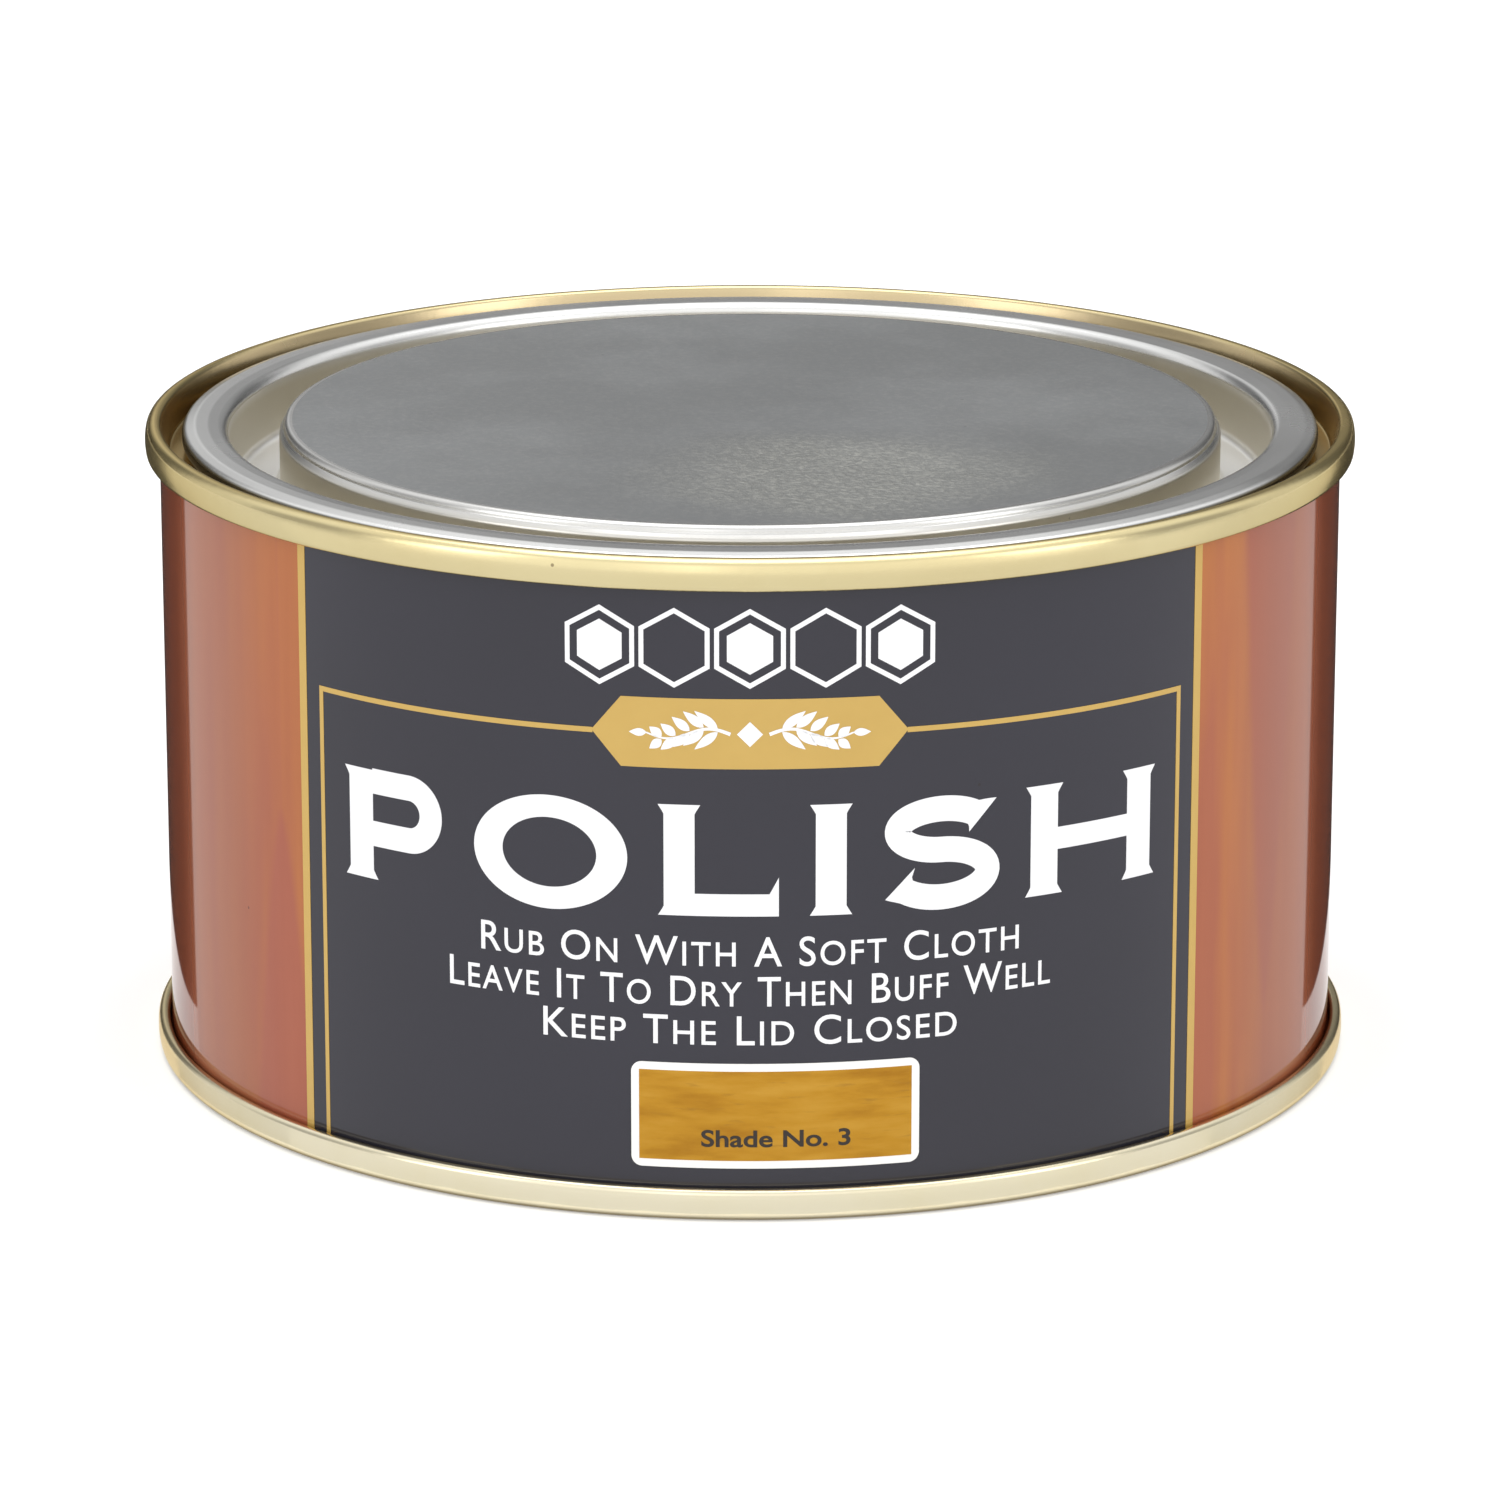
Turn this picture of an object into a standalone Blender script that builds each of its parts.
"""A squat lever-lid tin of paste wax polish, 120 mm across and 64 mm tall.

The tin is pressed from thin tinplate: a rolled body, a lever ring and a base that are double-seamed
onto it, and a lid whose plug grips inside the ring. Metres, +Z up, origin on the ground at the
tin's axis, and the front of the printed wall faces -Y.

Most pieces are turned sheet. Each one is drawn as the middle line of its sheet, in (radius, depth)
points, where depth is measured into the tin from its nearer end: down from the top rim for the
ring and the lid, and up from the ground for the base.
"""

import math

import bmesh
import bpy

# Driving dimensions
TIN_HEIGHT = 0.0640
SEAM_RADIUS = 0.0600
SEAM_HEIGHT = 0.0031
PLATE = 0.00025
LAYER_GAP = 0.00024
SEGMENTS = 40
SLACK = 0.0003

# The double seam's five layers of plate, from the outside inwards
PITCH = PLATE + LAYER_GAP
SEAMING_WALL = SEAM_RADIUS - PLATE / 2
BODY_HOOK = SEAMING_WALL - PITCH
END_HOOK = BODY_HOOK - PITCH
BODY_WALL = END_HOOK - PITCH
CHUCK_WALL = BODY_WALL - PITCH
SEAM_CORNER = 0.0006
END_HOOK_TIP = 0.00165
BODY_HOOK_TIP = 0.0024
BODY_BEND_TOP = 0.00105

# Lever ring
WELL_DEPTH = 0.0032
WELL_FILLET = 0.0005
CHUCK_FOOT = CHUCK_WALL - 0.00016
BEAD_RADIUS = 0.00085
BEAD_OUTSIDE = 0.0540
BEAD_TOP = 0.0009
MOUTH_FOOT = 0.05175
MOUTH_DEPTH = 0.0076
EDGE_CURL = 0.0006

# Base
BASE_DEPTH = 0.0035
BASE_STEP = 0.0008
BASE_BEAD_OUTSIDE = 0.0520
BASE_BEAD_INSIDE = 0.0462

# Lever lid
LID_CURL_CENTRE = 0.0553
LID_CURL = 0.000875
FLANGE_DEPTH = 0.000525
FLANGE_CORNER = 0.0009
PLUG_HEAD = 0.05192
PLUG_FOOT = 0.05125
GROOVE_DEPTH = 0.006925
GROOVE_CORNER = 0.0008
PANEL_WALL = 0.046575
PANEL_NECK = 0.04603
PANEL_DEPTH = 0.000325
PANEL_CORNER = 0.00038

# Contents, seals and the stuck-on shade label
WAX_LEVEL = 0.0500
WAX_MENISCUS = 0.0008
WAX_DIP = 0.0007
SEAL_INSIDE = 0.05845
SEAL_WIDTH = 0.0009
SEAL_TOP = 0.0004
SEAL_HEIGHT = 0.000375
LABEL_WIDTH = 0.0272
LABEL_HEIGHT = 0.0103
LABEL_FOOT = 0.0049
LABEL_SHIFT = 0.0025
LABEL_CORNER = 0.0010
LABEL_PAPER = 0.00012
LABEL_GAP = 0.0001
LABEL_FACETS = 12


def arc(radius, depth, size, start, end, steps):
    """Points round a centre at (radius, depth); 0 degrees points outwards and 90 deeper."""
    angles = [math.radians(start + (end - start) * i / steps) for i in range(steps + 1)]
    return [(radius + size * math.cos(a), depth + size * math.sin(a)) for a in angles]


def end_seam():
    """The lever ring's or the base's share of a double seam, from its hook tip to its chuck wall."""
    bend_depth = SEAM_HEIGHT - PLATE / 2 - PITCH
    corner_depth = PLATE / 2 + SEAM_CORNER
    return [
        (END_HOOK, END_HOOK_TIP),
        *arc(BODY_HOOK, bend_depth, PITCH, 180, 0, 4),
        *arc(SEAMING_WALL - SEAM_CORNER, corner_depth, SEAM_CORNER, 0, -90, 3),
        *arc(CHUCK_WALL + SEAM_CORNER, corner_depth, SEAM_CORNER, -90, -180, 3),
    ]


def body_seam():
    """The body's share of a double seam, from its hook tip over the bend to its wall."""
    return [
        (BODY_HOOK, BODY_HOOK_TIP),
        *arc(END_HOOK, BODY_BEND_TOP + PITCH, PITCH, 0, -180, 4),
    ]


def ring_profile():
    """Seam, well for the lever, bead that the lid sits on, and the mouth with its curled edge."""
    fillet_depth = WELL_DEPTH - WELL_FILLET
    bead_depth = BEAD_TOP + BEAD_RADIUS
    return [
        *end_seam(),
        *arc(CHUCK_FOOT - WELL_FILLET, fillet_depth, WELL_FILLET, 0, 90, 2),
        *arc(BEAD_OUTSIDE + WELL_FILLET, fillet_depth, WELL_FILLET, 90, 180, 2),
        *arc(BEAD_OUTSIDE - BEAD_RADIUS, bead_depth, BEAD_RADIUS, 0, -180, 4),
        *arc(MOUTH_FOOT + EDGE_CURL, MOUTH_DEPTH, EDGE_CURL, 180, -60, 5),
    ]


def base_profile():
    """Seam, recess, and a panel with one stiffening bead pressed outwards."""
    fillet_depth = BASE_DEPTH - WELL_FILLET
    bead_depth = BASE_DEPTH - BASE_STEP
    return [
        *end_seam(),
        *arc(CHUCK_FOOT - WELL_FILLET, fillet_depth, WELL_FILLET, 0, 90, 2),
        (BASE_BEAD_OUTSIDE, BASE_DEPTH),
        (BASE_BEAD_OUTSIDE - BASE_STEP, bead_depth),
        (BASE_BEAD_INSIDE + BASE_STEP, bead_depth),
        (BASE_BEAD_INSIDE, BASE_DEPTH),
        (0, BASE_DEPTH),
    ]


def body_profile():
    """The body from its top hook, down the wall, to its bottom hook."""
    top = body_seam()
    bottom = [(radius, TIN_HEIGHT - depth) for radius, depth in body_seam()]
    return top + bottom[::-1]


def lid_profile():
    """Outer curl, flange, plug, groove and raised centre panel."""
    groove_depth = GROOVE_DEPTH - GROOVE_CORNER
    return [
        *arc(LID_CURL_CENTRE, FLANGE_DEPTH + LID_CURL, LID_CURL, 200, -90, 6),
        *arc(PLUG_HEAD + FLANGE_CORNER, FLANGE_DEPTH + FLANGE_CORNER, FLANGE_CORNER, -90, -180, 2),
        *arc(PLUG_FOOT - GROOVE_CORNER, groove_depth, GROOVE_CORNER, 0, 90, 2),
        *arc(PANEL_WALL + GROOVE_CORNER, groove_depth, GROOVE_CORNER, 90, 180, 2),
        (PANEL_WALL, PANEL_DEPTH + 0.0013),
        (PANEL_NECK, PANEL_DEPTH + PANEL_CORNER),
        *arc(PANEL_NECK - PANEL_CORNER, PANEL_DEPTH + PANEL_CORNER, PANEL_CORNER, -45, -90, 1),
        (0, PANEL_DEPTH),
    ]


def wax_profile():
    """The cast block of wax: down its side, then along its foot to the axis."""
    wax_radius = BODY_WALL - PLATE / 2 - SLACK
    foot = BASE_DEPTH + PLATE / 2 + SLACK
    return [
        (0, WAX_LEVEL - WAX_DIP),
        (wax_radius * 0.6, WAX_LEVEL - WAX_DIP / 2),
        (wax_radius - 3 * WAX_MENISCUS, WAX_LEVEL),
        (wax_radius, WAX_LEVEL + WAX_MENISCUS),
        (wax_radius, foot),
        (0, foot),
    ]


def seal_profile():
    """The sealing compound's cross-section, a flattened bead between the seam and the body's bend."""
    outside = SEAL_INSIDE + SEAL_WIDTH
    chamfer = SEAL_HEIGHT / 3
    foot = SEAL_TOP + SEAL_HEIGHT
    return [
        (SEAL_INSIDE + chamfer, SEAL_TOP),
        (outside - chamfer, SEAL_TOP),
        (outside, foot - chamfer),
        (outside - chamfer, foot),
        (SEAL_INSIDE + chamfer, foot),
        (SEAL_INSIDE, foot - chamfer),
    ]


def material(name, colour, roughness, metallic):
    made = bpy.data.materials.new(name)
    made.use_nodes = True
    shader = made.node_tree.nodes["Principled BSDF"]
    shader.inputs["Base Color"].default_value = (*colour, 1)
    shader.inputs["Roughness"].default_value = roughness
    shader.inputs["Metallic"].default_value = metallic
    return made


def place(obj, parent, finish, collection):
    collection.objects.link(obj)
    obj.data.materials.append(finish)
    obj.parent = parent
    return obj


def turned(name, profile, up, closed=False):
    """An object with the profile drawn at +X and turned about Z; up is +1 or -1 for a deeper point."""
    mesh = bpy.data.meshes.new(name)
    ends = list(range(len(profile)))
    edges = list(zip(ends, ends[1:]))
    if closed:
        edges.append((ends[-1], ends[0]))
    mesh.from_pydata([(radius, 0, up * depth) for radius, depth in profile], edges, [])
    obj = bpy.data.objects.new(name, mesh)
    screw = obj.modifiers.new("turn", "SCREW")
    screw.steps = screw.render_steps = SEGMENTS
    screw.use_merge_vertices = True
    screw.merge_threshold = 1e-6
    return obj


def turned_sheet(name, profile, up):
    """A turned profile given the thickness of the plate."""
    obj = turned(name, profile, up)
    wall = obj.modifiers.new("plate", "SOLIDIFY")
    wall.thickness = PLATE
    wall.offset = 0
    wall.use_even_offset = True
    return obj


def bent_label(name, cutters):
    """A paper label with round corners, bent round the wall a little to the right of its front."""
    radius = BODY_WALL + PLATE / 2 + LABEL_GAP
    middle = LABEL_FOOT + LABEL_HEIGHT / 2
    half_angle = LABEL_WIDTH / 2 / radius
    turn = LABEL_SHIFT / radius
    mesh = bpy.data.meshes.new(name)
    ends = [(radius, 0, middle + LABEL_HEIGHT), (radius, 0, middle - LABEL_HEIGHT)]
    mesh.from_pydata(ends, [(0, 1)], [])
    label = bpy.data.objects.new(name, mesh)
    label.rotation_euler.z = turn - math.pi / 2 - 2 * half_angle
    bend = label.modifiers.new("bend", "SCREW")
    bend.angle = 4 * half_angle
    bend.steps = bend.render_steps = LABEL_FACETS
    paper = label.modifiers.new("paper", "SOLIDIFY")
    paper.thickness = LABEL_PAPER
    paper.offset = 1
    trim = label.modifiers.new("trim", "BOOLEAN")
    trim.operation = "INTERSECT"
    trim.object = label_outline(radius, middle, half_angle, turn, cutters)
    return label


def label_outline(radius, middle, half_angle, turn, cutters):
    """A block with four round edges, whose outline trims the label."""
    reach = 0.01
    width = 2 * radius * math.sin(half_angle)
    shape = bmesh.new()
    bmesh.ops.create_cube(shape, size=1)
    bmesh.ops.scale(shape, vec=(width, reach, LABEL_HEIGHT), verts=shape.verts)
    along = [e for e in shape.edges if abs(e.verts[0].co.y - e.verts[1].co.y) > reach / 2]
    bmesh.ops.bevel(shape, geom=along, offset=LABEL_CORNER, segments=3, profile=0.5, affect="EDGES")
    mesh = bpy.data.meshes.new("label_outline")
    shape.to_mesh(mesh)
    shape.free()
    block = bpy.data.objects.new("label_outline", mesh)
    block.location = (radius * math.sin(turn), -radius * math.cos(turn), middle)
    block.rotation_euler.z = turn
    block.hide_render = True
    block.display_type = "WIRE"
    cutters.objects.link(block)
    return block


def new_collection(name):
    made = bpy.data.collections.new(name)
    bpy.context.scene.collection.children.link(made)
    return made


def axis_empty(name, height, collection):
    empty = bpy.data.objects.new(name, None)
    empty.location.z = height
    collection.objects.link(empty)
    return empty


def build():
    for obj in list(bpy.data.objects):
        bpy.data.objects.remove(obj)
    tin = new_collection("wax_polish_tin")
    cutters = new_collection("cutters")
    base_axis = axis_empty("ground_axis", 0, tin)
    rim_axis = axis_empty("rim_axis", TIN_HEIGHT, tin)
    lid_axis = axis_empty("lid_lift_axis", TIN_HEIGHT, tin)

    print_ink = material("printed_wall", (0.083, 0.078, 0.095), 0.25, 0)
    gold = material("gold_lacquer", (0.72, 0.60, 0.30), 0.28, 1)
    bright = material("bright_tinplate", (0.62, 0.62, 0.60), 0.3, 1)
    rubber = material("seam_compound", (0.25, 0.26, 0.24), 0.8, 0)
    wax = material("paste_wax", (0.50, 0.27, 0.07), 0.45, 0)
    paper = material("label_paper", (0.58, 0.36, 0.09), 0.5, 0)

    place(turned_sheet("body_shell", body_profile(), -1), rim_axis, print_ink, tin)
    place(turned_sheet("lever_ring", ring_profile(), -1), rim_axis, gold, tin)
    place(turned_sheet("base_end", base_profile(), 1), base_axis, gold, tin)
    place(turned_sheet("lever_lid", lid_profile(), -1), lid_axis, bright, tin)
    place(turned("top_seam_seal", seal_profile(), -1, closed=True), rim_axis, rubber, tin)
    place(turned("base_seam_seal", seal_profile()[::-1], 1, closed=True), base_axis, rubber, tin)
    place(turned("wax_fill", wax_profile(), 1), base_axis, wax, tin)
    place(bent_label("shade_label", cutters), base_axis, paper, tin)


build()
